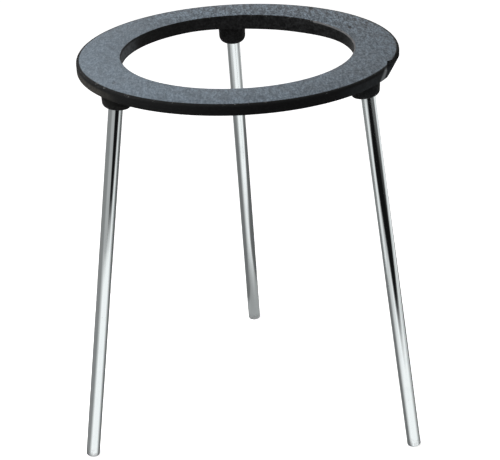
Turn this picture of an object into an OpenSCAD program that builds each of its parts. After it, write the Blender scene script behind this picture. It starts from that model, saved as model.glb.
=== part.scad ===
// Laboratory tripod stand: a cast ring on three splayed rod legs, each screwed into a round boss
// under the ring. Millimetres, +Z up. The origin is on the ring's axis at bench level, and the
// rear leg stands towards +Y.

/* [Ring] */
// Diameter of the round opening
opening_d = 131; // [110:1:150]
// Width of the rim, from the opening to the ring's outer edge
rim_w = 25; // [22:0.5:34]
// Thickness of the ring at its outer edge
outer_t = 6; // [5.5:0.5:8]
// Thickness of the ring at the opening, where its underside is lowest
inner_t = 7.6; // [6:0.2:9]
// Radius on the ring's outer upper edge
top_edge_r = 1.4; // [0.6:0.1:2]
// Radius on the ring's other edges
ring_edge_r = 0.5; // [0.3:0.1:1]
// Height of the ring's top face above the bench
stand_h = 230; // [150:1:300]

/* [Bosses] */
// Distance of each leg's axis from the ring's outer edge, level with the lower outer edge
leg_inset = 13; // [12:0.5:14]
// Diameter of a boss where it leaves the ring
boss_d = 16.5; // [14:0.5:18]
// Diameter of a boss at its lower end, before the edge is rounded
boss_mouth_d = 16; // [14:0.5:16.5]
// Height of the front left boss below the ring's lower outer edge
front_left_boss_h = 10.5; // [9:0.5:15]
// Height of the front right boss below the ring's lower outer edge
front_right_boss_h = 11.5; // [9:0.5:15]
// Height of the rear boss below the ring's lower outer edge
rear_boss_h = 13.5; // [9:0.5:15]
// Angle about the ring by which the front right boss was cast off its leg's place
front_right_boss_shift = 1.5; // [0:0.5:2]
// Radius on the lower edge of a boss
boss_edge_r = 3; // [1:0.1:3.5]
// Distance that a leg's hole goes on above the ring's lower outer edge
hole_in_ring = 2; // [1.5:0.1:2.5]
// Depth of the countersink at the mouth of the hole
countersink = 0.4; // [0.2:0.1:0.8]

/* [Legs] */
// Diameter of a rod leg
leg_d = 8; // [6:0.5:8.5]
// Angle at which the legs spread outward from upright
leg_splay = 8.2; // [3:0.2:10]
// Sideways lean of every leg, its foot moved clockwise seen from above, as the holes were drilled
leg_lean = 1.8; // [0:0.2:4]
// Chamfer on the top end of a leg
leg_chamfer = 1; // [0.3:0.1:2]
// Radius on the edge of a foot
foot_edge_r = 0.7; // [0.2:0.1:2]

/* [Fits] */
// Clearance between a leg and the wall of its hole, on the radius
leg_clearance = 0.05; // [0.02:0.01:0.1]
// Gap between the top end of a leg and the end of its hole
end_clearance = 0.4; // [0.2:0.1:1]

/* [Gate mark] */
// Direction of the flat where the casting's gate was ground off, from +X
gate_angle = -18.5; // [-22:0.5:-16]
// Depth of that flat at its middle
gate_flat = 1.7; // [0.5:0.1:2]
// Direction of the chip that broke out of the flat's upper edge, from +X
chip_angle = -24; // [-26:0.5:-22]
// Distance that the chip reaches in from the ring's outer edge
chip_reach = 3.4; // [2:0.1:4]
// Depth of the chip below the top face
chip_depth = 3; // [1:0.5:4]
// Angle between the chip's front side and the outward direction
chip_front_turn = 75; // [60:1:80]
// Angle between the chip's rear side and the outward direction
chip_rear_turn = 52; // [30:1:70]

/* [Hidden] */

// Each leg's direction from +X, then its boss's height and shift
front_left = [-150, front_left_boss_h, 0];
front_right = [-30, front_right_boss_h, front_right_boss_shift];
rear = [90, rear_boss_h, 0];
legs = [front_left, front_right, rear];

opening_r = opening_d / 2;
rim_r = opening_r + rim_w;
under_slope = atan((inner_t - outer_t) / rim_w);
leg_top = stand_h - outer_t;
leg_circle_r = rim_r - leg_inset;
leg_r = leg_d / 2;
hole_r = leg_r + leg_clearance;

// Angle between a leg and the upright
tilt = acos(cos(leg_splay) * cos(leg_lean));

// Height of a leg's top end along the leg, from the level of the ring's lower outer edge
leg_end = hole_in_ring - end_clearance;

// A foot is cut square to its leg, so its inner edge touches the bench
foot_rise = (leg_r - foot_edge_r) * sin(tilt) + foot_edge_r * (1 - cos(tilt));
leg_below_ring = (leg_top - foot_rise) / cos(tilt);

// The boss starts inside the ring
boss_root = 1;

curve_fn = 96;
ring_fn = 360;
cut_past = 1;

// Height of the ring's underside at a radius, below the top face
function under_z(x) = -outer_t - (rim_r - x) * tan(under_slope);

// Centre of the arc that rounds the lower edge at a radius
function lower_arc(x) = [x, under_z(x) + ring_edge_r / cos(under_slope)];

// The rim's section: a flat top, a sloping underside and four rounded edges
module ring_section() {
    r = ring_edge_r;
    inner = opening_r + r;
    outer = rim_r - top_edge_r;
    inner_low = lower_arc(inner);
    outer_low = lower_arc(rim_r - r);
    to_slope = r * [sin(under_slope), -cos(under_slope)];
    polygon([
        [opening_r, -r], [inner, 0], [outer, 0], [rim_r, -top_edge_r], [rim_r, outer_low.y],
        outer_low + to_slope, inner_low + to_slope, [opening_r, inner_low.y]
    ]);
    translate([outer, -top_edge_r]) circle(r = top_edge_r, $fn = curve_fn);
    for (centre = [[inner, -r], inner_low, outer_low])
        translate(centre) circle(r = r, $fn = curve_fn);
}

// Cuts away what lies outside a rounded lower corner, whose arc is centred on the origin
module corner_waste(radius) {
    difference() {
        translate([0, -radius - cut_past]) square(radius + cut_past);
        circle(r = radius, $fn = curve_fn);
    }
}

// Half the section of a boss about its own axis
module boss_section(boss_h) {
    mouth_r = boss_mouth_d / 2;
    difference() {
        polygon([[0, boss_root], [boss_d / 2, boss_root], [boss_d / 2, 0], [mouth_r, -boss_h], [0, -boss_h]]);
        translate([mouth_r - boss_edge_r, boss_edge_r - boss_h]) corner_waste(boss_edge_r);
    }
}

// Half the section of a leg about its own axis, its foot at -leg_below_ring
module leg_section() {
    difference() {
        polygon([
            [0, leg_end], [leg_r - leg_chamfer, leg_end], [leg_r, leg_end - leg_chamfer],
            [leg_r, -leg_below_ring], [0, -leg_below_ring]
        ]);
        translate([leg_r - foot_edge_r, foot_edge_r - leg_below_ring]) corner_waste(foot_edge_r);
    }
}

// Moves its children to a leg's axis, with +Z up the leg and zero level with the ring's lower edge
module on_leg_axis(place) {
    rotate([0, 0, place[0]])
        translate([leg_circle_r, 0, leg_top])
            rotate([-leg_lean, -leg_splay, 0])
                children();
}

// A boss stands upright, and without a shift its leg's axis passes through its middle
module boss(place) {
    boss_h = place[1];
    rotate([0, 0, place[0] - place[2]])
        translate([leg_circle_r + boss_h / 2 * tan(leg_splay), 0, leg_top])
            rotate_extrude($fn = curve_fn) boss_section(boss_h);
}

module leg_hole(place) {
    mouth = -place[1] / cos(tilt);
    cone_r = hole_r + countersink + cut_past;
    on_leg_axis(place)
        translate([0, 0, mouth - cut_past]) {
            cylinder(r = hole_r, h = hole_in_ring - mouth + cut_past, $fn = curve_fn);
            cylinder(r1 = cone_r, r2 = hole_r, h = countersink + cut_past, $fn = curve_fn);
        }
}

// The flat is a cut square to its direction, through the whole thickness
module gate_flat_waste() {
    rotate([0, 0, gate_angle])
        translate([rim_r - gate_flat, -rim_r, stand_h - inner_t - cut_past])
            cube([gate_flat + cut_past, 2 * rim_r, inner_t + 2 * cut_past]);
}

// The chip has two sides that meet at its innermost point, and a level floor
module chip_waste() {
    side = rim_w;
    rotate([0, 0, chip_angle])
        translate([rim_r - chip_reach, 0, stand_h - chip_depth])
            linear_extrude(chip_depth + cut_past)
                polygon([
                    [0, 0], side * [cos(chip_front_turn), -sin(chip_front_turn)],
                    side * [cos(chip_rear_turn), sin(chip_rear_turn)]
                ]);
}

module ring() {
    color([0.20, 0.21, 0.22])
        difference() {
            union() {
                translate([0, 0, stand_h]) rotate_extrude($fn = ring_fn) ring_section();
                for (place = legs) boss(place);
            }
            for (place = legs) leg_hole(place);
            gate_flat_waste();
            chip_waste();
        }
}

module leg(place) {
    color([0.82, 0.83, 0.84])
        on_leg_axis(place) rotate_extrude($fn = curve_fn) leg_section();
}

module front_left_leg() { leg(front_left); }
module front_right_leg() { leg(front_right); }
module rear_leg() { leg(rear); }

ring();
front_left_leg();
front_right_leg();
rear_leg();
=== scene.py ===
# Tripod stand for a laboratory burner: an enamelled iron ring on three plated rods.
import math

import bmesh
import bpy
from mathutils import Matrix, Vector


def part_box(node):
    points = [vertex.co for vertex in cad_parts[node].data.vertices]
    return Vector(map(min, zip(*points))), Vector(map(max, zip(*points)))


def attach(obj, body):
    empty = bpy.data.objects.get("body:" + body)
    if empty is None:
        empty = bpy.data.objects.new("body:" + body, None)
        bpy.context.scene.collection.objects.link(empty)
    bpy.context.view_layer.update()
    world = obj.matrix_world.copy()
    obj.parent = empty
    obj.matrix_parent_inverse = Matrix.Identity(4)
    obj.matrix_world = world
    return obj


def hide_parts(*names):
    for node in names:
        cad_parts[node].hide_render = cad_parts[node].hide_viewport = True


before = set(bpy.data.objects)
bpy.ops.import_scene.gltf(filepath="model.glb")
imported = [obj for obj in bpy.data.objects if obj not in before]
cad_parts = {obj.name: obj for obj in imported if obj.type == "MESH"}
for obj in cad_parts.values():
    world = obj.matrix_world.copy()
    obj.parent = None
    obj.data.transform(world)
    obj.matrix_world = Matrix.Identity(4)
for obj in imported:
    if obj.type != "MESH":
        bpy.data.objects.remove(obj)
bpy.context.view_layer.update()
mm = 0.001
print("tripod stand: solids loaded")


def linked(name, data):
    thing = bpy.data.objects.new(name, data)
    bpy.context.scene.collection.objects.link(thing)
    return thing


def meshPiece(name, made):
    # faces drawn with bmesh become an object
    mesh = bpy.data.meshes.new(name)
    made.to_mesh(mesh)
    made.free()
    return linked(name, mesh)


def settle(thing):
    # what the modifiers make becomes the piece's own plain mesh
    view = bpy.context.evaluated_depsgraph_get()
    view.update()
    mesh = bpy.data.meshes.new_from_object(thing.evaluated_get(view), depsgraph=view)
    thing.modifiers.clear()
    old = thing.data
    thing.data = mesh
    mesh.name = thing.name
    bpy.data.meshes.remove(old)


def tidyMesh(thing, creaseAngle):
    made = bmesh.new()
    made.from_mesh(thing.data)
    samePlace = 0.002 * mm
    bmesh.ops.remove_doubles(made, verts=made.verts, dist=samePlace)
    bmesh.ops.recalc_face_normals(made, faces=made.faces)
    openEdges = sum(1 for edge in made.edges if len(edge.link_faces) != 2)
    made.to_mesh(thing.data)
    made.free()
    for face in thing.data.polygons:
        face.use_smooth = True
    thing.data.set_sharp_from_angle(angle=math.radians(creaseAngle))
    print(f"{thing.name}: {len(thing.data.polygons)} faces, {openEdges} open edges")


def turned(name, section, steps, place):
    # a solid turned about an upright axis: radius and height, from the top of the axis to its foot
    made = bmesh.new()
    rows = []
    for radius, height in section:
        if radius == 0:
            rows.append([made.verts.new(place(Vector((0, 0, height))))])
            continue
        turns = (2 * math.pi * step / steps for step in range(steps))
        rows.append([
            made.verts.new(place(Vector((radius * math.cos(turn), radius * math.sin(turn), height))))
            for turn in turns
        ])
    for above, below in zip(rows, rows[1:]):
        for step in range(steps):
            after = (step + 1) % steps
            if len(above) == 1:
                made.faces.new((above[0], below[step], below[after]))
            elif len(below) == 1:
                made.faces.new((above[step], below[0], above[after]))
            else:
                made.faces.new((above[step], below[step], below[after], above[after]))
    bmesh.ops.recalc_face_normals(made, faces=made.faces)
    return meshPiece(name, made)


def quarterRound(radius, middle, start, steps):
    # points on a quarter of a circle, from the angle start on, turning clockwise
    turns = (math.radians(start - 90 * step / steps) for step in range(steps + 1))
    return [(middle[0] + radius * math.cos(turn), middle[1] + radius * math.sin(turn)) for turn in turns]


def addNode(tree, kind, x, y, **settings):
    node = tree.nodes.new(kind)
    node.location = (x, y)
    for key, value in settings.items():
        setattr(node, key, value)
    return node


def join(tree, value, socket):
    # a number, a colour or another node's output goes into a socket
    if isinstance(value, bpy.types.NodeSocket):
        tree.links.new(value, socket)
    elif isinstance(value, tuple) and socket.type == "RGBA":
        socket.default_value = (*value, 1)
    elif value is not None:
        socket.default_value = value


def fed(tree, kind, x, y, inputs, **settings):
    # a node with its inputs given by name or number
    node = addNode(tree, kind, x, y, **settings)
    for name, value in inputs.items():
        join(tree, value, node.inputs[name])
    return node.outputs[0]


def calc(tree, operation, x, y, *values):
    node = addNode(tree, "ShaderNodeMath", x, y, operation=operation)
    for value, socket in zip(values, node.inputs):
        join(tree, value, socket)
    return node.outputs[0]


def vectorCalc(tree, operation, x, y, *values):
    node = addNode(tree, "ShaderNodeVectorMath", x, y, operation=operation)
    for value, socket in zip(values, node.inputs):
        join(tree, value, socket)
    return node.outputs["Value" if operation in ("LENGTH", "DISTANCE", "DOT_PRODUCT") else "Vector"]


def ramp(tree, x, y, source, low, high, lowValue=0.0, highValue=1.0):
    node = addNode(tree, "ShaderNodeMapRange", x, y, interpolation_type="SMOOTHSTEP")
    for value, socket in zip((source, low, high, lowValue, highValue), node.inputs):
        join(tree, value, socket)
    return node.outputs["Result"]


def blendColour(tree, x, y, amount, first, second, mode="MIX"):
    node = addNode(tree, "ShaderNodeMix", x, y, data_type="RGBA", blend_type=mode)
    join(tree, amount, node.inputs["Factor"])
    join(tree, first, node.inputs[6])
    join(tree, second, node.inputs[7])
    return node.outputs[2]


def noise(tree, x, y, vector, size, detail=2.0, roughness=0.5):
    # size is the width of one patch, in metres
    return fed(tree, "ShaderNodeTexNoise", x, y,
               {"Vector": vector, "Scale": 1 / size, "Detail": detail, "Roughness": roughness})


def apart(tree, x, y, vector):
    # the X, Y and Z of a vector
    node = addNode(tree, "ShaderNodeSeparateXYZ", x, y)
    tree.links.new(vector, node.inputs[0])
    return node.outputs


def newMaterial(name):
    material = bpy.data.materials.new(name)
    material.use_nodes = True
    tree = material.node_tree
    tree.nodes.clear()
    return material, tree, addNode(tree, "ShaderNodeOutputMaterial", 900, 0).inputs["Surface"]


def newFinish(name):
    finish, tree, surface = newMaterial(name)
    shader = addNode(tree, "ShaderNodeBsdfPrincipled", 600, 0)
    tree.links.new(shader.outputs[0], surface)
    return finish, tree, shader


def bumped(tree, shader, height, depth, strength=1.0):
    bump = fed(tree, "ShaderNodeBump", 350, -400,
               {"Distance": depth, "Strength": strength, "Height": height})
    tree.links.new(bump, shader.inputs["Normal"])


def newTree(name, inputs):
    # a geometry tree from the names of its inputs and their kinds of socket
    tree = bpy.data.node_groups.new(name, "GeometryNodeTree")
    for inputName, kind in inputs.items():
        tree.interface.new_socket(name=inputName, in_out="INPUT", socket_type=f"NodeSocket{kind}")
    tree.interface.new_socket(name="Geometry", in_out="OUTPUT", socket_type="NodeSocketGeometry")
    return tree, addNode(tree, "NodeGroupInput", -1400, 0).outputs


def endTree(tree, x, mesh, finish):
    # instances are made real, because the export drops them
    real = fed(tree, "GeometryNodeRealizeInstances", x, 100, {"Geometry": mesh})
    coated = fed(tree, "GeometryNodeSetMaterial", x + 150, 100, {"Geometry": real, "Material": finish})
    tree.links.new(coated, addNode(tree, "NodeGroupOutput", x + 300, 100).inputs[0])


# Where the camera stands: around, up and tilted in degrees, then metres from the middle of the ring
cameraPlace = {
    "around": -2.19,
    "above": 24.92,
    "tilt": -2.58,
    "away": 0.8297,
    "aside": 0.0071,
    "below": 0.1015,
    "lens": 106.45,
}


def placeCamera(place, middle):
    around = math.radians(place["around"])
    above = math.radians(place["above"])
    tilt = math.radians(place["tilt"])
    out = math.cos(above)
    back = Vector((out * math.sin(around), -out * math.cos(around), math.sin(above)))
    level = Vector((math.cos(around), math.sin(around), 0))
    upright = back.cross(level)
    right = math.cos(tilt) * level + math.sin(tilt) * upright
    up = math.cos(tilt) * upright - math.sin(tilt) * level
    spot = middle + place["away"] * back + place["aside"] * right - place["below"] * up
    camera = bpy.data.objects.new("camera", bpy.data.cameras.new("camera"))
    camera.data.lens = place["lens"]
    camera.data.sensor_width = 36
    camera.data.clip_start = 0.01
    camera.matrix_world = Matrix.Translation(spot) @ Matrix((right, up, back)).transposed().to_4x4()
    bpy.context.scene.collection.objects.link(camera)
    bpy.context.scene.camera = camera


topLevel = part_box("ring")[1].z
placeCamera(cameraPlace, Vector((0, 0, topLevel)))

# The ring casting, in the sizes of the solids where they have them
ringSizes = {
    "openingRadius": 65.5 * mm,
    "rimRadius": 90.5 * mm,
    "outerThickness": 6 * mm,
    "innerThickness": 7.6 * mm,
    "topEdgeRadius": 1.4 * mm,     # on the outer upper edge
    "edgeRadius": 0.5 * mm,
    "lowSide": 65,                 # where the underside hangs lowest round the opening, and by how much
    "lowDrop": 1.4 * mm,
    "stepsAround": 480,
    "waviness": 0.06 * mm,         # how far the mould left the faces off true
    "waveSeed": 4.0,
    "creaseAngle": 35,             # edges sharper than this stay sharp
    "bossRootRadius": 8.25 * mm,
    "bossMouthRadius": 8 * mm,
    "bossEdgeRadius": 3.2 * mm,
    "bossFillet": 0.8 * mm,
    "bossRibs": 96,
    "holeRadius": 4.05 * mm,
    "holeInRing": 2 * mm,
    "countersink": 0.4 * mm,
    "gateAngle": -18.5,            # where the casting's gate was ground off
    "gateFlat": 1.7 * mm,
    "gateUndercut": 0.6 * mm,      # how much deeper the flat is at the underside than at the top
    "chipAngle": -24,
    "chipReach": 3.4 * mm,
    "chipDepth": 3 * mm,
    "chipFrontTurn": 75,
    "chipRearTurn": 52,
}

# The three legs: direction from +X, then the height of the boss, how far it was cast off its place
# and how much lower its inner side hangs
legPlaces = {
    "front_left_leg": (-150, 9.5 * mm, 0, 2 * mm),
    "front_right_leg": (-30, 10.5 * mm, 1.5, 2 * mm),
    "rear_leg": (90, 12.5 * mm, 0, 2 * mm),
}

legSizes = {
    "radius": 4 * mm,
    "circleRadius": 77.5 * mm,     # from the ring's axis, level with the ring's lower outer edge
    "splay": 8.2,
    "lean": 1.8,
    "aboveEdge": 1.6 * mm,         # how far the rod goes on above that level
    "belowEdge": 225.93 * mm,
    "footRadius": 0.7 * mm,
    "footSegments": 5,
    "ribs": 72,
    "rows": 90,
    "creaseAngle": 40,
}

enamelLook = {
    "wallColour": (0.0070, 0.0072, 0.0074),
    "wallGloss": 0.12,
    "wallRoughness": 0.62,
    "topSheenColour": (0.084, 0.106, 0.128),    # the top: the same black paint, lighter by a painted sheen of the light from above
    "topGloss": 0.10,
    "topRoughness": 0.45,
    "groundColour": (0.003, 0.003, 0.003), # the flat left by the grinder, touched up dull black
    "groundGloss": 0.02,
    "paintedSheens": (                           # painted sheen on the walls where light falls: on the rim or in the opening, angle, whole, fade, depth, colour
        (True, -157, 6, 22, 1.4 * mm, (0.034, 0.032, 0.028)),
        (True, -36, 8, 26, 0.6 * mm, (0.030, 0.034, 0.037)),
        (False, 166, 6, 20, 0.3 * mm, (0.095, 0.105, 0.112)),
    ),
    "bandWidth": 0.7 * mm,                 # the line along the rim where the top's painted sheen stops and the black paint shows
    "bandFade": 0.6 * mm,
    # the lighter colour of the rubbed edges, partly wear and partly a painted highlight
    "rubbedHighlightColour": (0.11, 0.11, 0.112),
    "rubbedFrom": (0.60, 0.68),            # how much of the edges is rubbed and highlit, less for higher values
    "rightEdgeHighlight": 0.3,                    # how much lighter the opening's edge is on the right: a painted highlight
    "chipSize": 3.5 * mm,
    "grainSize": 1.05 * mm,
    "grainDepth": 0.09 * mm,
    "grainDrawn": 0.36,                    # the grain runs front to back, less so towards 1
    "broadSize": 32 * mm,
    "contrast": 0.82,                      # how strong the grain shows in the middle
    "contrastRise": 3.0,                   # and how much more for each metre to the right
    "rearContrast": 0.75,                  # and at the right rear
    "rearWay": (0.34, 0.94, 0),
    "rearReach": (25 * mm, 70 * mm),
    "pitColour": (0.006, 0.006, 0.007),
    "pits": (                              # x, y, radius and depth of colour
        (67.0 * mm, 28.9 * mm, 1.1 * mm, 0.9),
        (48.3 * mm, 71.4 * mm, 1.4 * mm, 1.0),
        (-68.1 * mm, -45.4 * mm, 1.0 * mm, 0.35),
    ),
    "glintAngles": (-30.2, -34.8),        # a painted highlight down the outer wall, its angle at the top and at the bottom of the wall
    "glintWidth": 3.6 * mm,
    "glintColour": (0.30, 0.32, 0.33),
}


def makeEnamel(name, look, colour, gloss, roughness, sizes, top):
    finish, tree, shader = newFinish(name)
    where = addNode(tree, "ShaderNodeTexCoord", -1900, 0).outputs["Object"]
    axes = apart(tree, -1700, 300, where)
    height = axes["Z"]
    drawn = vectorCalc(tree, "MULTIPLY", -1700, 0, where, (1, look["grainDrawn"], 1))
    level = vectorCalc(tree, "MULTIPLY", -1700, 500, where, (1, 1, 0))
    radial = vectorCalc(tree, "LENGTH", -1500, 500, level)

    # hammered grain: lumps, coarser and finer lumps between them, and broad patches
    grain = noise(tree, -1500, 0, drawn, look["grainSize"], 3.0, 0.65)
    lumps = ramp(tree, -1300, 0, grain, 0.34, 0.66)
    coarse = noise(tree, -1500, -100, drawn, look["grainSize"] * 2.1, 2.0, 0.6)
    coarse = ramp(tree, -1300, -100, coarse, 0.34, 0.66)
    fine = noise(tree, -1500, -200, drawn, look["grainSize"] / 2.6, 2.0, 0.6)
    broad = noise(tree, -1500, -400, where, look["broadSize"], 3.0, 0.55)
    cells = fed(tree, "ShaderNodeTexVoronoi", -1500, -600,
                {"Vector": where, "Scale": 0.8 / look["grainSize"]}, feature="SMOOTH_F1")

    # pits in the top, each a dark spot
    pitted = 0.0
    for x, y, radius, dark in look["pits"]:
        away = vectorCalc(tree, "DISTANCE", -1500, 800, drawn, (x, y * look["grainDrawn"], top))
        spot = ramp(tree, -1300, 800, away, radius * 0.6, radius * 1.15, dark, 0.0)
        pitted = calc(tree, "MAXIMUM", -1100, 800, pitted, spot)

    # the paint is rubbed here and there along both upper edges; the lighter line there is partly wear and
    # partly a painted edge highlight
    rimEdge = sizes["rimRadius"] - sizes["topEdgeRadius"]
    boreEdge = sizes["openingRadius"]
    rim = ramp(tree, -1300, 600, radial, rimEdge - 2.0 * mm, rimEdge - 1.2 * mm)
    bore = ramp(tree, -1300, 450, radial, boreEdge + 0.4 * mm, boreEdge + 1.2 * mm, 1.0, 0.0)
    upper = ramp(tree, -1300, 300, height, top - 1.2 * mm, top - 0.5 * mm)
    edges = calc(tree, "MULTIPLY", -1000, 450, calc(tree, "MAXIMUM", -1150, 500, rim, bore), upper)
    chips = noise(tree, -1500, -800, where, look["chipSize"], 4.0, 0.7)
    highlightOnRight = ramp(tree, -1300, -700, axes["X"], 30 * mm, 60 * mm, 0.0, look["rightEdgeHighlight"])
    worn = calc(tree, "MULTIPLY_ADD", -1150, -700, bore, highlightOnRight, chips)
    rubbedAndHighlit = calc(tree, "MULTIPLY", -900, -800, edges, ramp(tree, -1000, -800, worn, *look["rubbedFrom"]))
    # a painted highlight that runs down the outer wall from the chip, where the wall's edge catches the
    # light
    turns = [math.radians(angle) for angle in look["glintAngles"]]
    high, low = (
        Vector((sizes["rimRadius"] * math.cos(turn), sizes["rimRadius"] * math.sin(turn), top - deep))
        for turn, deep in zip(turns, (0, sizes["outerThickness"]))
    )
    fromHigh = vectorCalc(tree, "SUBTRACT", -1700, -1000, where, tuple(high))
    across = vectorCalc(tree, "CROSS_PRODUCT", -1600, -1000, fromHigh, tuple((low - high).normalized()))
    fromGlint = vectorCalc(tree, "LENGTH", -1500, -1000, across)
    width = look["glintWidth"]
    glint = ramp(tree, -1300, -1000, fromGlint, width * 0.1, width * 0.7, 1.0, 0.0)
    uneven = ramp(tree, -1300, -1100, chips, 0.30, 0.50, 0.6, 1.0)
    belowEdge = ramp(tree, -1300, -1200, height, top - 1.3 * mm, top, 1.0, 0.0)
    glint = calc(tree, "MULTIPLY", -1100, -1000, glint, uneven)
    glint = calc(tree, "MULTIPLY", -1000, -1000, glint, belowEdge)

    # soft lighter patches on the walls: painted sheen where light falls on them
    angle = calc(tree, "ARCTAN2", -1500, -1200, axes["Y"], axes["X"])
    middle = (sizes["openingRadius"] + sizes["rimRadius"]) / 2
    outside = calc(tree, "GREATER_THAN", -1500, -1300, radial, middle)
    inside = calc(tree, "SUBTRACT", -1350, -1300, 1.0, outside)
    underside = top - sizes["outerThickness"]
    onWall = ramp(tree, -1050, -1350, height, underside - 2 * mm, underside, 0.3, 1.0)
    mottled = ramp(tree, -900, -1350, chips, 0.35, 0.60, 0.55, 1.0)
    paintedSheens = []
    for index, (onRim, turn, whole, fade, start, sheenColour) in enumerate(look["paintedSheens"]):
        y = -1500 - 300 * index
        away = calc(tree, "ABSOLUTE", -1200, y, calc(tree, "SUBTRACT", -1350, y, angle, math.radians(turn)))
        spread = ramp(tree, -1050, y, away, math.radians(whole), math.radians(fade), 1.0, 0.0)
        deep = ramp(tree, -1050, y - 100, height, top - start - 1.5 * mm, top - start, 1.0, 0.0)
        deep = calc(tree, "MULTIPLY", -950, y - 100, deep, onWall)
        patch = calc(tree, "MULTIPLY", -900, y, spread, deep)
        patch = calc(tree, "MULTIPLY", -750, y, patch, outside if onRim else inside)
        paintedSheens.append((calc(tree, "MULTIPLY", -600, y, patch, mottled), sheenColour))
    # along the rim the painted sheen of the top gives way to the black paint
    bandStart = rimEdge - look["bandWidth"]
    band = ramp(tree, -1300, 700, radial, bandStart, bandStart + look["bandFade"])

    # each layer of the grain as a factor on the colour: how much it varies, and its lowest value
    tone = calc(tree, "MULTIPLY_ADD", -1100, 0, lumps, 0.70, 0.65)
    layers = ((coarse, 0.56, 0.72), (fine, 0.6, 0.7), (broad, 0.4, 0.8))
    for index, (layer, spread, least) in enumerate(layers):
        factor = calc(tree, "MULTIPLY_ADD", -1100, -100 - 100 * index, layer, spread, least)
        tone = calc(tree, "MULTIPLY", -950 + 150 * index, 0, tone, factor)
    # the grain shows more on the right, and most at the right rear
    reach = vectorCalc(tree, "DOT_PRODUCT", -1100, -500, level, look["rearWay"])
    atRear = ramp(tree, -950, -500, reach, *look["rearReach"], 0.0, look["rearContrast"])
    contrast = calc(tree, "MULTIPLY_ADD", -950, -600, axes["X"], look["contrastRise"], look["contrast"])
    contrast = calc(tree, "ADD", -800, -500, contrast, atRear)
    tone = calc(tree, "SUBTRACT", -650, -100, tone, 1.0)
    tone = calc(tree, "MULTIPLY_ADD", -500, -100, tone, contrast, 1.0)
    shade = addNode(tree, "ShaderNodeCombineColor", -500, 0)
    for socket in shade.inputs:
        tree.links.new(tone, socket)
    body = blendColour(tree, -250, 200, 1.0, colour, shade.outputs[0], "MULTIPLY")
    coats = [(band, look["wallColour"]), *paintedSheens, (rubbedAndHighlit, look["rubbedHighlightColour"])]
    coats += [(glint, look["glintColour"]), (pitted, look["pitColour"])]
    for index, (amount, coatColour) in enumerate(coats):
        body = blendColour(tree, -150 + 60 * index, 200, amount, body, coatColour)
    tree.links.new(body, shader.inputs["Base Color"])

    rough = calc(tree, "MULTIPLY_ADD", -250, -250, broad, 0.16, roughness - 0.08)
    rough = calc(tree, "MULTIPLY_ADD", -50, -250, lumps, -0.10, calc(tree, "ADD", -150, -250, rough, 0.05))
    rough = calc(tree, "MULTIPLY_ADD", 150, -250, rubbedAndHighlit, 0.12, rough)
    rough = calc(tree, "MULTIPLY_ADD", 300, -250, band, 0.2, rough)
    tree.links.new(rough, shader.inputs["Roughness"])
    shader.inputs["Specular IOR Level"].default_value = gloss

    relief = calc(tree, "MULTIPLY_ADD", -400, -500, cells, 0.5, grain)
    for index, (layer, weight) in enumerate(((fine, 0.35), (broad, 5.0), (pitted, -6.0))):
        relief = calc(tree, "MULTIPLY_ADD", -250 + 150 * index, -500, layer, weight, relief)
    bumped(tree, shader, relief, look["grainDepth"])
    return finish


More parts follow.
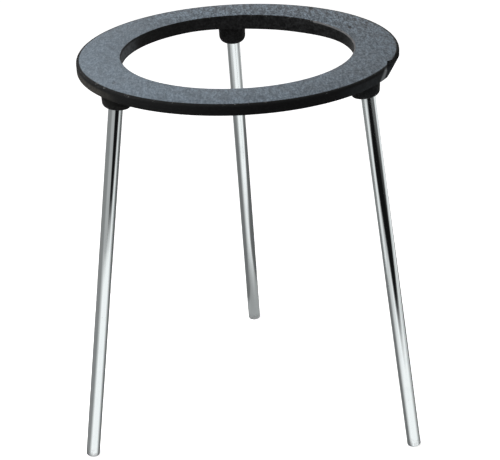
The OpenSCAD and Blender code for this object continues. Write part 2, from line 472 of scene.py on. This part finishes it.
def makeRimTree():
    # a four-cornered section with rounded edges, swept round the ring's axis
    sizeNames = ("Opening Radius", "Rim Radius", "Outer Thickness", "Inner Thickness", "Edge Radius",
                 "Top Edge Radius", "Top Level", "Low Side", "Low Drop", "Waviness", "Seed")
    inputs = dict.fromkeys(sizeNames, "Float")
    tree, given = newTree("castRim", inputs | {"Steps Around": "Int", "Finish": "Material"})

    # the path's own radius is taken off the section, which is laid out from the axis
    pathRadius = 1 * mm
    path = fed(tree, "GeometryNodeCurvePrimitiveCircle", -200, 300,
               {"Radius": pathRadius, "Resolution": given["Steps Around"]})
    inner = calc(tree, "SUBTRACT", -1100, 0, given["Opening Radius"], pathRadius)
    outer = calc(tree, "SUBTRACT", -1100, -200, given["Rim Radius"], pathRadius)
    outerDrop, innerDrop = given["Outer Thickness"], given["Inner Thickness"]
    plan = ((inner, 0.0), (outer, 0.0), (outer, outerDrop), (inner, innerDrop))
    corners = {}
    for index, (across, drop) in enumerate(plan):
        corner = fed(tree, "ShaderNodeCombineXYZ", -850, -150 * index, {"X": across, "Y": drop})
        corners[f"Point {index + 1}"] = corner
    section = fed(tree, "GeometryNodeCurvePrimitiveQuadrilateral", -600, -100, corners, mode="POINTS")
    # the outer upper corner is rounder than the other three
    which = addNode(tree, "GeometryNodeInputIndex", -600, -400).outputs[0]
    isUpper = calc(tree, "COMPARE", -400, -400, which, 1.0, 0.1)
    rounder = calc(tree, "SUBTRACT", -600, -600, given["Top Edge Radius"], given["Edge Radius"])
    radius = calc(tree, "MULTIPLY_ADD", -250, -400, isUpper, rounder, given["Edge Radius"])
    rounded = fed(tree, "GeometryNodeFilletCurve", -400, -100,
                  {"Curve": section, "Count": 6, "Limit Radius": True, "Radius": radius}, mode="POLY")
    rows = fed(tree, "GeometryNodeSubdivideCurve", -200, -100, {"Curve": rounded, "Cuts": 1})

    swept = fed(tree, "GeometryNodeCurveToMesh", 0, 100, {"Curve": path, "Profile Curve": rows})
    merged = fed(tree, "GeometryNodeMergeByDistance", 200, 100, {"Geometry": swept, "Distance": 0.01 * mm})
    raised = fed(tree, "ShaderNodeCombineXYZ", 200, -100, {"Z": given["Top Level"]})
    lifted = fed(tree, "GeometryNodeSetPosition", 400, 100, {"Geometry": merged, "Offset": raised})

    # the underside hangs lower on one side of the opening
    spot = addNode(tree, "GeometryNodeInputPosition", 400, -700).outputs[0]
    axes = apart(tree, 600, -700, spot)
    level = vectorCalc(tree, "MULTIPLY", 600, -900, spot, (1, 1, 0))
    angle = calc(tree, "ARCTAN2", 800, -900, axes["Y"], axes["X"])
    aside = calc(tree, "ABSOLUTE", 1100, -900, calc(tree, "SUBTRACT", 950, -900, angle, given["Low Side"]))
    whole, gone = math.radians(8), math.radians(50)
    lobe = ramp(tree, 1250, -900, aside, whole, gone, 1.0, 0.0)
    radial = vectorCalc(tree, "LENGTH", 750, -1100, level)
    inwards = ramp(tree, 800, -1100, radial, given["Opening Radius"], given["Rim Radius"], 1.0, 0.0)
    deep = calc(tree, "SUBTRACT", 800, -700, given["Top Level"], axes["Z"])
    deep = calc(tree, "DIVIDE", 950, -700, deep, given["Inner Thickness"])
    drop = calc(tree, "MULTIPLY", 1250, -700, calc(tree, "MULTIPLY", 1100, -700, deep, inwards), lobe)
    downwards = calc(tree, "MULTIPLY", 1250, -1100, given["Low Drop"], -1.0)
    drop = calc(tree, "MULTIPLY", 1400, -700, drop, downwards)
    lower = fed(tree, "ShaderNodeCombineXYZ", 1550, -700, {"Z": drop})
    hung = fed(tree, "GeometryNodeSetPosition", 600, 100, {"Geometry": lifted, "Offset": lower})

    # a slight wave, as the mould left it, always inwards so that the ring keeps its size
    wave = fed(tree, "ShaderNodeTexNoise", 600, -300,
               {"Vector": spot, "W": given["Seed"], "Scale": 34, "Detail": 1.5}, noise_dimensions="4D")
    inward = calc(tree, "MULTIPLY", 600, -500, given["Waviness"], -1.0)
    inward = calc(tree, "MULTIPLY", 800, -300, wave, inward)
    along = addNode(tree, "GeometryNodeInputNormal", 800, -500).outputs[0]
    shift = fed(tree, "ShaderNodeVectorMath", 1000, -300, {0: along, "Scale": inward}, operation="SCALE")
    waved = fed(tree, "GeometryNodeSetPosition", 1100, 100, {"Geometry": hung, "Offset": shift})
    endTree(tree, 1250, waved, given["Finish"])
    return tree


def addTree(thing, tree, values):
    # a modifier's inputs go by the socket's identifier
    modifier = thing.modifiers.new(tree.name, "NODES")
    modifier.node_group = tree
    for item in tree.interface.items_tree:
        if item.item_type == "SOCKET" and item.in_out == "INPUT":
            modifier[item.identifier] = values[item.name]


def legFrame(direction, top):
    # the leg's own frame: its origin level with the ring's lower outer edge, +Z up the leg
    splay = math.radians(legSizes["splay"])
    lean = math.radians(legSizes["lean"])
    edgeLevel = top - ringSizes["outerThickness"]
    return (
        Matrix.Rotation(math.radians(direction), 4, "Z")
        @ Matrix.Translation((legSizes["circleRadius"], 0, edgeLevel))
        @ Matrix.Rotation(-splay, 4, "Y")
        @ Matrix.Rotation(-lean, 4, "X")
    )


def makeBoss(sizes, name, place, top):
    # an upright boss with a well rounded foot, slanted so that its inner side hangs lower
    direction, height, shift, sag = place
    edgeLevel = top - sizes["outerThickness"]
    rimWidth = sizes["rimRadius"] - sizes["openingRadius"]
    slope = (sizes["innerThickness"] - sizes["outerThickness"]) / rimWidth
    splay = math.radians(legSizes["splay"])
    turn = math.radians(direction - shift)
    reach = legSizes["circleRadius"] + height / 2 * math.tan(splay)
    centre = Vector((reach * math.cos(turn), reach * math.sin(turn), 0))
    fillet = sizes["bossFillet"]
    straight = height - sizes["bossEdgeRadius"]
    taper = (sizes["bossRootRadius"] - sizes["bossMouthRadius"]) / straight

    def put(point):
        spot = centre + point
        follow = max(0.0, 1 + point.z / (3 * fillet))
        under = -(sizes["rimRadius"] - math.hypot(spot.x, spot.y)) * slope
        inner = 0.5 - 0.5 * (point.x * math.cos(turn) + point.y * math.sin(turn)) / sizes["bossMouthRadius"]
        lower = sag * inner * min(1.0, max(0.0, -point.z / height))
        spot.z = edgeLevel + point.z + under * min(1.0, follow) - lower
        return spot

    flare = []
    for step in range(7):
        arc = math.radians(90 * step / 6)
        radius = sizes["bossRootRadius"] + fillet * (1 - math.sin(arc)) - taper * fillet * step / 6
        flare.append((radius, fillet * (math.cos(arc) - 1)))
    mouth = sizes["bossMouthRadius"] - sizes["bossEdgeRadius"]
    foot = quarterRound(sizes["bossEdgeRadius"], (mouth, -straight), 0, 10)
    downs = [straight * step / 5 for step in range(1, 5)]
    rows = [(sizes["bossRootRadius"] - taper * down, -down) for down in downs]
    inRing = 1.5 * mm
    section = [(0, inRing), (sizes["bossRootRadius"], inRing), (flare[0][0], 0.03 * mm)]
    section += flare[1:] + rows + foot + [(0, -height)]
    return turned(name, section, sizes["bossRibs"], put)


def makeHole(sizes, name, place, top):
    direction, height, shift, sag = place
    onAxis = legFrame(direction, top)
    splay, lean = math.radians(legSizes["splay"]), math.radians(legSizes["lean"])
    tilt = math.acos(math.cos(splay) * math.cos(lean))
    mouth = -(height + sag / 2) / math.cos(tilt)
    past = 1 * mm
    section = [
        (0, sizes["holeInRing"]), (sizes["holeRadius"], sizes["holeInRing"]),
        (sizes["holeRadius"], mouth + sizes["countersink"]),
        (sizes["holeRadius"] + sizes["countersink"] + past, mouth - past), (0, mouth - past),
    ]
    return turned(name, section, sizes["bossRibs"], lambda point: onAxis @ point)


def prism(name, corners, low, high, slide=Vector((0, 0))):
    # a block on a flat outline, its corners in order, with its floor slid sideways
    made = bmesh.new()
    floor = [made.verts.new((*(corner + slide), low)) for corner in corners]
    lid = [made.verts.new((*corner, high)) for corner in corners]
    made.faces.new(floor)
    made.faces.new(lid)
    for index in range(len(corners)):
        after = (index + 1) % len(corners)
        made.faces.new((floor[index], floor[after], lid[after], lid[index]))
    bmesh.ops.recalc_face_normals(made, faces=made.faces)
    return meshPiece(name, made)


def makeFlat(sizes, top):
    # what the grinder took off the rim where the gate had been
    turn = math.radians(sizes["gateAngle"])
    slope = sizes["gateUndercut"] / sizes["outerThickness"]
    above = 2 * mm
    below = 12 * mm
    half = 40 * mm
    reach = sizes["rimRadius"] - sizes["gateFlat"] + sizes["gateUndercut"] / 2 + slope * above
    out = Vector((math.cos(turn), math.sin(turn)))
    along = Vector((-math.sin(turn), math.cos(turn)))
    corners = [out * (reach + past) + along * side for past, side in
               ((0, -half), (10 * mm, -half), (10 * mm, half), (0, half))]
    return prism("gateFlat", corners, top - below, top + above, -out * slope * (above + below))


def makeChip(sizes, top):
    # a chip out of the flat's upper edge
    turn = math.radians(sizes["chipAngle"])
    out = Vector((math.cos(turn), math.sin(turn)))
    tip = out * (sizes["rimRadius"] - sizes["chipReach"])
    side = 24 * mm
    front = tip + Matrix.Rotation(math.radians(-sizes["chipFrontTurn"]), 2) @ out * side
    rear = tip + Matrix.Rotation(math.radians(sizes["chipRearTurn"]), 2) @ out * side
    return prism("gateChip", [tip, front, rear], top - sizes["chipDepth"], top + 2 * mm)


def cutWith(thing, tools, operation):
    for tool in tools:
        step = thing.modifiers.new(tool.name, "BOOLEAN")
        step.operation = operation
        step.solver = "EXACT"
        step.object = tool


def makeRing(sizes, top, litTopFinish, wallFinish, groundFinish):
    ring = linked("ringCasting", bpy.data.meshes.new("ringCasting"))
    addTree(ring, makeRimTree(), {
        "Opening Radius": sizes["openingRadius"],
        "Rim Radius": sizes["rimRadius"],
        "Outer Thickness": sizes["outerThickness"],
        "Inner Thickness": sizes["innerThickness"],
        "Edge Radius": sizes["edgeRadius"],
        "Top Edge Radius": sizes["topEdgeRadius"],
        "Top Level": top,
        "Low Side": math.radians(sizes["lowSide"]),
        "Low Drop": sizes["lowDrop"],
        "Waviness": sizes["waviness"],
        "Seed": sizes["waveSeed"],
        "Steps Around": sizes["stepsAround"],
        "Finish": wallFinish,
    })
    settle(ring)
    tidyMesh(ring, sizes["creaseAngle"])
    bosses = [makeBoss(sizes, f"{name}Boss", place, top) for name, place in legPlaces.items()]
    holes = [makeHole(sizes, f"{name}Hole", place, top) for name, place in legPlaces.items()]
    cuts = holes + [makeFlat(sizes, top), makeChip(sizes, top)]
    cutWith(ring, bosses, "UNION")
    cutWith(ring, cuts, "DIFFERENCE")
    settle(ring)
    for tool in bosses + cuts:
        mesh = tool.data
        bpy.data.objects.remove(tool)
        bpy.data.meshes.remove(mesh)
    tidyMesh(ring, sizes["creaseAngle"])
    ring.data.materials.clear()
    for finish in (wallFinish, litTopFinish, groundFinish):
        ring.data.materials.append(finish)
    gate = math.radians(sizes["gateAngle"])
    gateWay = Vector((math.cos(gate), math.sin(gate), 0))
    flatReach = sizes["rimRadius"] - 4 * mm
    for face in ring.data.polygons:
        onTop = face.center.z > top - 0.3 * mm and face.normal.z > 0.995
        onFlat = face.normal.dot(gateWay) > 0.985 and face.center.dot(gateWay) > flatReach
        face.material_index = 1 if onTop else 2 if onFlat else 0
    return ring


# the walls' black enamel, and copies of it for the top, lighter by a painted sheen, and for the ground flat
wallEnamel, litTopEnamel, groundEnamel = (
    makeEnamel(name, enamelLook, *(enamelLook[key] for key in keys), ringSizes, topLevel)
    for name, *keys in (
        ("blackEnamel", "wallColour", "wallGloss", "wallRoughness"),
        ("sheenPaintedEnamel", "topSheenColour", "topGloss", "topRoughness"),
        ("groundEnamel", "groundColour", "groundGloss", "wallRoughness"),
    )
)
ring = makeRing(ringSizes, topLevel, litTopEnamel, wallEnamel, groundEnamel)
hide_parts("ring")
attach(ring, "root")
print("ring: cast, drilled and enamelled")

platingLook = {
    "colour": (0.86, 0.912, 0.915),
    "hazeColour": (0.73, 0.785, 0.80),
    "haze": 0.35,                  # how strong the haze gets at most
    "dullColour": (0.60, 0.61, 0.62),
    "roughness": 0.05,
    "markSize": 0.4 * mm,          # fine marks that run along the rod
    "scratchSize": 1.1 * mm,
    "markDepth": 0.004 * mm,
    "hazeSize": 16 * mm,
    "speckSize": 0.7 * mm,
    "scuffSize": 2.4 * mm,
    "footWear": 7 * mm,            # how far up from the bench the foot is scuffed
}


def makePlating(look):
    finish, tree, shader = newFinish("brightPlating")
    place = addNode(tree, "ShaderNodeAttribute", -1700, 0, attribute_name="rodPlace").outputs["Vector"]
    upRod = apart(tree, -1500, 300, place)["Z"]
    along = vectorCalc(tree, "MULTIPLY", -1500, 0, place, (1, 1, 0.03))    # marks run along the rod
    marks = noise(tree, -1300, 0, along, look["markSize"], 3.0, 0.65)
    scratches = noise(tree, -1300, -150, along, look["scratchSize"], 2.0, 0.5)
    scratches = ramp(tree, -1100, -150, scratches, 0.64, 0.70)
    haze = noise(tree, -1300, -300, place, look["hazeSize"], 4.0, 0.6)
    specks = noise(tree, -1300, -450, place, look["speckSize"], 1.0, 0.5)
    specks = ramp(tree, -1100, -450, specks, 0.73, 0.78)
    scuffs = noise(tree, -1300, 450, place, look["scuffSize"], 4.0, 0.7)
    scuffs = ramp(tree, -1100, 450, scuffs, 0.40, 0.62)
    foot = ramp(tree, -1100, 300, upRod, 0.8 * mm, look["footWear"], 1.0, 0.0)
    worn = calc(tree, "MULTIPLY", -900, 300, foot, scuffs)

    dull = calc(tree, "MAXIMUM", -700, 200, calc(tree, "MULTIPLY", -800, 300, worn, 0.7),
                calc(tree, "MULTIPLY", -800, 100, specks, 0.5))
    hazed = calc(tree, "MULTIPLY", -600, 0, ramp(tree, -800, -50, haze, 0.45, 0.75), look["haze"])
    colour = blendColour(tree, -400, 200, hazed, look["colour"], look["hazeColour"])
    colour = blendColour(tree, -200, 200, dull, colour, look["dullColour"])
    tree.links.new(colour, shader.inputs["Base Color"])
    shader.inputs["Metallic"].default_value = 1.0

    rough = calc(tree, "MULTIPLY_ADD", -400, -200, hazed, 0.12, look["roughness"])
    rough = calc(tree, "MULTIPLY_ADD", -250, -200, worn, 0.25, rough)
    rough = calc(tree, "MULTIPLY_ADD", -100, -200, scratches, 0.04, rough)
    rough = calc(tree, "MULTIPLY_ADD", 50, -200, marks, 0.03, rough)
    tree.links.new(rough, shader.inputs["Roughness"])

    relief = calc(tree, "SUBTRACT", -400, -500, calc(tree, "MULTIPLY", -550, -500, marks, 0.6), scratches)
    relief = calc(tree, "MULTIPLY_ADD", -250, -500, worn, -3.0, relief)
    bumped(tree, shader, relief, look["markDepth"], 0.6)
    return finish


def makeRodTree():
    # a round rod from its foot to its head, which carries its own place along and around the axis
    tree, given = newTree("legRod", {"Foot": "Vector", "Head": "Vector", "Radius": "Float",
                                     "Ribs": "Int", "Rows": "Int", "Finish": "Material"})
    axis = fed(tree, "GeometryNodeCurvePrimitiveLine", -700, 200,
               {"Start": given["Foot"], "End": given["Head"]})
    rows = fed(tree, "GeometryNodeResampleCurve", -500, 200, {"Curve": axis, "Count": given["Rows"]})
    ruled = addNode(tree, "GeometryNodeCaptureAttribute", -300, 200)
    ruled.capture_items.new("FLOAT", "Length")
    tree.links.new(rows, ruled.inputs["Geometry"])
    length = addNode(tree, "GeometryNodeSplineParameter", -500, 0).outputs["Length"]
    tree.links.new(length, ruled.inputs["Length"])
    circle = fed(tree, "GeometryNodeCurvePrimitiveCircle", -700, -200,
                 {"Resolution": given["Ribs"], "Radius": given["Radius"]})
    marked = addNode(tree, "GeometryNodeCaptureAttribute", -500, -200)
    marked.capture_items.new("VECTOR", "Around")
    tree.links.new(circle, marked.inputs["Geometry"])
    spot = addNode(tree, "GeometryNodeInputPosition", -700, -400).outputs[0]
    tree.links.new(spot, marked.inputs["Around"])
    swept = fed(tree, "GeometryNodeCurveToMesh", 0, 100,
                {"Curve": ruled.outputs[0], "Profile Curve": marked.outputs[0], "Fill Caps": True})
    lift = fed(tree, "ShaderNodeCombineXYZ", 0, -100, {"Z": ruled.outputs["Length"]})
    place = vectorCalc(tree, "ADD", 200, -100, marked.outputs["Around"], lift)
    kept = fed(tree, "GeometryNodeStoreNamedAttribute", 400, 100,
               {"Geometry": swept, "Name": "rodPlace", "Value": place},
               data_type="FLOAT_VECTOR", domain="POINT")
    endTree(tree, 700, kept, given["Finish"])
    return tree


def makeLeg(name, sizes, tree, direction, top, finish):
    onAxis = legFrame(direction, top)
    leg = linked(name, bpy.data.meshes.new(name))
    addTree(leg, tree, {
        "Foot": onAxis @ Vector((0, 0, -sizes["belowEdge"])),
        "Head": onAxis @ Vector((0, 0, sizes["aboveEdge"])),
        "Radius": sizes["radius"],
        "Ribs": sizes["ribs"],
        "Rows": sizes["rows"],
        "Finish": finish,
    })
    softened = leg.modifiers.new("softened", "BEVEL")
    softened.width = sizes["footRadius"]
    softened.segments = sizes["footSegments"]
    softened.limit_method = "ANGLE"
    softened.angle_limit = math.radians(60)
    settle(leg)
    tidyMesh(leg, sizes["creaseAngle"])
    return leg


plating = makePlating(platingLook)
rodTree = makeRodTree()
for node, place in legPlaces.items():
    leg = makeLeg(f"{node}Rod", legSizes, rodTree, place[0], topLevel, plating)
    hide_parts(node)
    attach(leg, "root")
print("legs: drawn, rounded and plated")

floorLook = {
    "radius": 6,
    "corners": 96,
    "colour": 0.85,
    "glow": 0.76,                  # lifts the floor to white where the camera sees it
}

clothLook = {                      # the dark cloth on the floor in front, seen only in the shine
    "near": 0.29,                  # it starts this far in front of the stand's middle
    "far": 0.49,                   # and is whole from here on
    "slant": 0.9,                  # how fast its near edge comes closer on the right, and on the left
    "leftSlant": 0.15,
    "closest": 0.11,
    "left": (-0.46, -0.24),
    "right": (0.5, 1.3),
    "sheet": (-3.0, 0.4),          # front and rear edge of the mesh that carries it
    "sheetRight": 2.8,
    "tone": 0.006,
    "rightTone": 0.14,
    "shadowBesideTone": 0.12,            # a painted shadow on the floor close to the stand on its right, seen only in the shine
    "shadowBeside": (("X", 0.03, 0.08, 0, 1), ("X", 0.28, 0.36, 1, 0), ("Y", -0.03, 0.05, 0, 1)),
    "footShadowTone": 0.36,              # and a grey painted shadow before the rear foot
    "foot": (
        ("Y", 0.02, 0.11, 0, 1), ("Y", 0.13, 0.16, 1, 0),
        ("X", -0.03, -0.01, 0, 1), ("X", 0.05, 0.08, 1, 0),
    ),
}

cards = {                          # two ends in plan, low and high edge, brightness
    "whiteCard": ((0.0, -0.13), (0.0, -0.055), 0.06, 0.20, 0.8),
    "greyCard": ((-0.068, -0.15), (-0.20, -0.15), 0.09, 0.21, 0.42),
}

skyLook = {                        # turns and heights in degrees, heights above the horizon
    "light": 0.3,                  # on the stand itself, while the rest is seen only in its shine
    "grey": 0.25,
    "greyFall": 0.3,               # how much darker the grey is towards the floor
    "greyHeights": (-31, -24),
    "frontTurn": -78,              # the way the bright side faces, from +X
    "frontWhole": 36,              # how far to each side it stays white
    "frontFade": 96,
    "leftWay": (-0.95, -0.31, 0),
    "leftReach": (0.35, 0.75),
    "leftSooner": (0.45, 0.25),    # in radians, how much sooner the white starts and stops fading there
    "leftBand": ((-36, -31), (-26, -20)),
    "leftLater": 0.45,             # how much later in that band
    "leftGrey": 0.35,
    "leftHeights": (-16, -11),
    "back": 0.9,
    "backTurns": (155, 172),
    "lowest": 0.3,                 # what is left of the white straight below
    "lowHeights": (-47, -38),
    "right": 0.8,                  # a brighter part low on the right
    "rightWay": (math.cos(0.5), math.sin(0.5), 0),
    "rightReach": (0.75, 0.95),
    "rightHeights": (-24, -16),
    "aboveHeights": (-4, 6),
    "zenith": 0.45,
    "zenithHeights": (45, 75),
    "aboveFront": 0.25,
    "aboveTurns": (80, 125),
}

lampAim = (0, 0, 0.12)
lamps = {                          # place, width, power and whether the shine shows it
    "overheadLamp": ((-0.3, -0.2, 1.6), 1.2, 2, True),
    "sideLamp": ((-0.30, -0.10, 0.46), 0.2, 2, False),
    "backLamp": ((-0.40, 0.60, 0.50), 0.45, 0.3, True),
}


def mixShaders(tree, x, y, amount, first, second):
    return fed(tree, "ShaderNodeMixShader", x, y, {0: amount, 1: first, 2: second})


def glowing(tree, kind, x, y, strength):
    # kind is Emission on a mesh and Background in the sky
    return fed(tree, f"ShaderNode{kind}", x, y, {"Color": (1, 1, 1), "Strength": strength})


def shineOnly(thing, material, surface, covered, tone):
    # a part of the studio that only the shine sees: covered says where it is, tone how bright
    tree = material.node_tree
    clear = addNode(tree, "ShaderNodeBsdfTransparent", 300, 100).outputs[0]
    bright = glowing(tree, "Emission", 300, -100, tone)
    tree.links.new(mixShaders(tree, 600, 0, covered, clear, bright), surface)
    thing.data.materials.append(material)
    thing.visible_camera = False
    thing.visible_diffuse = False
    thing.visible_shadow = False


def softPlace(tree, x, y, axes, sides):
    # a place with soft sides, each an axis, two points on it, and what holds before and after them
    place = 1.0
    for index, (axis, first, last, before, after) in enumerate(sides):
        side = ramp(tree, x, y - 200 * index, axes[axis], first, last, before, after)
        place = side if index == 0 else calc(tree, "MULTIPLY", x + 150 * index, y, place, side)
    return place


def makeFloor(look):
    made = bmesh.new()
    bmesh.ops.create_circle(made, cap_ends=True, segments=look["corners"], radius=look["radius"])
    floor = meshPiece("floor", made)
    paper, tree, surface = newMaterial("floorPaper")
    seen = addNode(tree, "ShaderNodeLightPath", -200, 500).outputs
    matt = fed(tree, "ShaderNodeBsdfDiffuse", -200, 0, {"Color": (look["colour"],) * 3})
    glow = glowing(tree, "Emission", -200, -150, look["glow"])
    lit = fed(tree, "ShaderNodeAddShader", 0, 0, {0: matt, 1: glow})
    tree.links.new(mixShaders(tree, 300, 0, seen["Is Camera Ray"], matt, lit), surface)
    floor.data.materials.append(paper)
    floor.visible_glossy = False


def makeShade(look):
    made = bmesh.new()
    left, right = look["left"][0], look["sheetRight"]
    front, rear = look["sheet"]
    corners = ((left, rear), (left, front), (right, front), (right, rear))
    made.faces.new([made.verts.new((x, y, 1 * mm)) for x, y in corners])
    cloth = meshPiece("darkCloth", made)
    soft, tree, surface = newMaterial("darkCloth")
    where = addNode(tree, "ShaderNodeTexCoord", -1000, 0).outputs["Object"]
    axes = apart(tree, -850, 0, where)
    # its near edge comes closer on the right
    slanted = calc(tree, "MULTIPLY", -700, 200, axes["X"], look["slant"])
    slanted = calc(tree, "MINIMUM", -550, 200, look["closest"], slanted)
    onLeft = calc(tree, "MULTIPLY", -700, 350, axes["X"], look["leftSlant"])
    slanted = calc(tree, "MAXIMUM", -400, 200, slanted, onLeft)
    depth = calc(tree, "SUBTRACT", -250, 200, axes["Y"], slanted)
    near = ramp(tree, -100, 200, depth, -look["far"], -look["near"], 1.0, 0.0)
    covered = calc(tree, "MULTIPLY", 0, 200, near, ramp(tree, -100, 0, axes["X"], *look["left"]))
    tone = ramp(tree, -600, -200, axes["X"], *look["right"], look["tone"], look["rightTone"])
    # painted shadow on the floor beside the stand, seen only in the shine
    shadowBeside = softPlace(tree, -600, -500, axes, look["shadowBeside"])
    tone = calc(tree, "MULTIPLY_ADD", -100, -200, shadowBeside, look["shadowBesideTone"], tone)
    # a painted contact shadow before the rear foot, seen only in the shine
    foot = softPlace(tree, -600, -1200, axes, look["foot"])
    tone = calc(tree, "MAXIMUM", 100, -200, tone, calc(tree, "MULTIPLY", 0, -1200, foot, look["footShadowTone"]))
    covered = calc(tree, "MAXIMUM", 100, 200, covered, shadowBeside)
    shineOnly(cloth, soft, surface, calc(tree, "MAXIMUM", 200, 200, covered, foot), tone)


def makeCard(name, first, last, low, high, tone):
    # an upright card with soft edges, seen only in the shine and only from its front
    made = bmesh.new()
    amount = made.verts.layers.float.new("amount")
    border = 0.15
    steps = (0, border, 1 - border, 1)
    first, last = Vector(first), Vector(last)
    rows = []
    for rise in steps:
        row = []
        for along in steps:
            corner = made.verts.new((*first.lerp(last, along), low + (high - low) * rise))
            corner[amount] = 1.0 if rise in steps[1:3] and along in steps[1:3] else 0.0
            row.append(corner)
        rows.append(row)
    for below, above in zip(rows, rows[1:]):
        for index in range(3):
            made.faces.new((below[index], below[index + 1], above[index + 1], above[index]))
    card = meshPiece(name, made)
    paper, tree, surface = newMaterial(name)
    soft = addNode(tree, "ShaderNodeAttribute", -400, 100, attribute_name="amount").outputs["Fac"]
    behind = addNode(tree, "ShaderNodeNewGeometry", -400, -100).outputs["Backfacing"]
    shown = calc(tree, "MULTIPLY", 0, 100, soft, calc(tree, "SUBTRACT", -200, -100, 1.0, behind))
    shineOnly(card, paper, surface, shown, tone)


def makeSky(look):
    world = bpy.data.worlds.new("studio")
    bpy.context.scene.world = world
    world.use_nodes = True
    tree = world.node_tree
    tree.nodes.clear()
    out = addNode(tree, "ShaderNodeOutputWorld", 900, 0)
    seen = addNode(tree, "ShaderNodeLightPath", 0, 400).outputs

    def fading(x, y, angle, limits, before=0.0, after=1.0):
        return ramp(tree, x, y, angle, math.radians(limits[0]), math.radians(limits[1]), before, after)

    # what the shine sees: white in front and behind, grey at the sides and straight below, white above
    way = addNode(tree, "ShaderNodeTexCoord", -1400, -100).outputs["Generated"]
    rise = calc(tree, "ARCSINE", -1000, -500, apart(tree, -1200, -300, way)["Z"])
    level = vectorCalc(tree, "NORMALIZE", -1000, 0, vectorCalc(tree, "MULTIPLY", -1200, 0, way, (1, 1, 0)))
    turn = math.radians(look["frontTurn"])
    facing = vectorCalc(tree, "DOT_PRODUCT", -800, 0, level, (math.cos(turn), math.sin(turn), 0))
    aside = calc(tree, "ARCCOSINE", -600, 0, facing)
    # on the left the white fades sooner except in a low band, and less of it is left near the horizon
    toLeft = vectorCalc(tree, "DOT_PRODUCT", -800, 200, level, look["leftWay"])
    leftSide = ramp(tree, -600, 200, toLeft, *look["leftReach"])
    bandFoot, bandHead = look["leftBand"]
    band = calc(tree, "MULTIPLY", -500, 400, fading(-700, 400, rise, bandHead, 1.0, 0.0),
                fading(-700, 600, rise, bandFoot))
    startSooner, stopSooner = look["leftSooner"]
    whole = calc(tree, "MULTIPLY_ADD", -500, 300, leftSide, -startSooner, math.radians(look["frontWhole"]))
    fade = calc(tree, "MULTIPLY_ADD", -500, 200, leftSide, -stopSooner, math.radians(look["frontFade"]))
    later = calc(tree, "MULTIPLY", -600, 100, band, leftSide)
    later = calc(tree, "MULTIPLY", -500, 100, later, look["leftLater"])
    front = ramp(tree, -400, 0, calc(tree, "SUBTRACT", -500, 0, aside, later), whole, fade, 1.0, 0.0)
    lost = fading(-500, 700, rise, look["leftHeights"], 0.0, look["leftGrey"])
    lost = calc(tree, "MULTIPLY", -400, 500, lost, leftSide)
    front = calc(tree, "MULTIPLY", -300, 0, front, calc(tree, "SUBTRACT", -350, 100, 1.0, lost))
    back = fading(-400, -200, aside, look["backTurns"], 0.0, look["back"])
    low = fading(-600, -500, rise, look["lowHeights"], look["lowest"])
    sides = calc(tree, "MULTIPLY", -200, -100, calc(tree, "MAXIMUM", -300, -100, front, back), low)
    # brighter low on the right
    toRight = vectorCalc(tree, "DOT_PRODUCT", -800, -700, level, look["rightWay"])
    right = calc(tree, "MULTIPLY", -400, -700, ramp(tree, -600, -700, toRight, *look["rightReach"]),
                 fading(-600, -900, rise, look["rightHeights"], 0.0, look["right"]))
    # above, white behind and only grey in front
    above = calc(tree, "MULTIPLY", -400, -1100, fading(-600, -1100, rise, look["aboveHeights"]),
                 fading(-600, -1300, rise, look["zenithHeights"], 1.0, look["zenith"]))
    above = calc(tree, "MULTIPLY", -250, -1100, above,
                 fading(-600, -1500, aside, look["aboveTurns"], look["aboveFront"]))
    shine = calc(tree, "MAXIMUM", -100, -300, calc(tree, "MAXIMUM", -200, -300, sides, right), above)
    # the grey is darker towards the floor
    dim = fading(-600, -1900, rise, look["greyHeights"], 1.0, 0.0)
    grey = calc(tree, "MULTIPLY_ADD", -200, -1700, dim, -look["greyFall"] * look["grey"], look["grey"])
    whiter = calc(tree, "SUBTRACT", -50, -500, 1.0, grey)
    shine = calc(tree, "MULTIPLY_ADD", 0, -300, shine, whiter, grey)

    soft = glowing(tree, "Background", 200, 100, look["light"])
    mirrored = glowing(tree, "Background", 200, -300, shine)
    clean = glowing(tree, "Background", 200, -150, 1.0)
    shown = mixShaders(tree, 400, 0, seen["Is Glossy Ray"], soft, mirrored)
    tree.links.new(mixShaders(tree, 600, 0, seen["Is Camera Ray"], shown, clean), out.inputs["Surface"])


def addLamp(name, place, size, power, mirrored):
    lamp = bpy.data.lights.new(name, "AREA")
    lamp.size = size
    lamp.energy = power
    thing = linked(name, lamp)
    thing.location = place
    thing.rotation_euler = (Vector(lampAim) - Vector(place)).to_track_quat("-Z", "Y").to_euler()
    thing.visible_glossy = mirrored


makeFloor(floorLook)
makeShade(clothLook)
for name, card in cards.items():
    makeCard(name, *card)
makeSky(skyLook)
for name, lamp in lamps.items():
    addLamp(name, *lamp)
print("stage: floor, cloth, cards, sky and lamps set")

bpy.context.scene.view_settings.view_transform = "Standard"
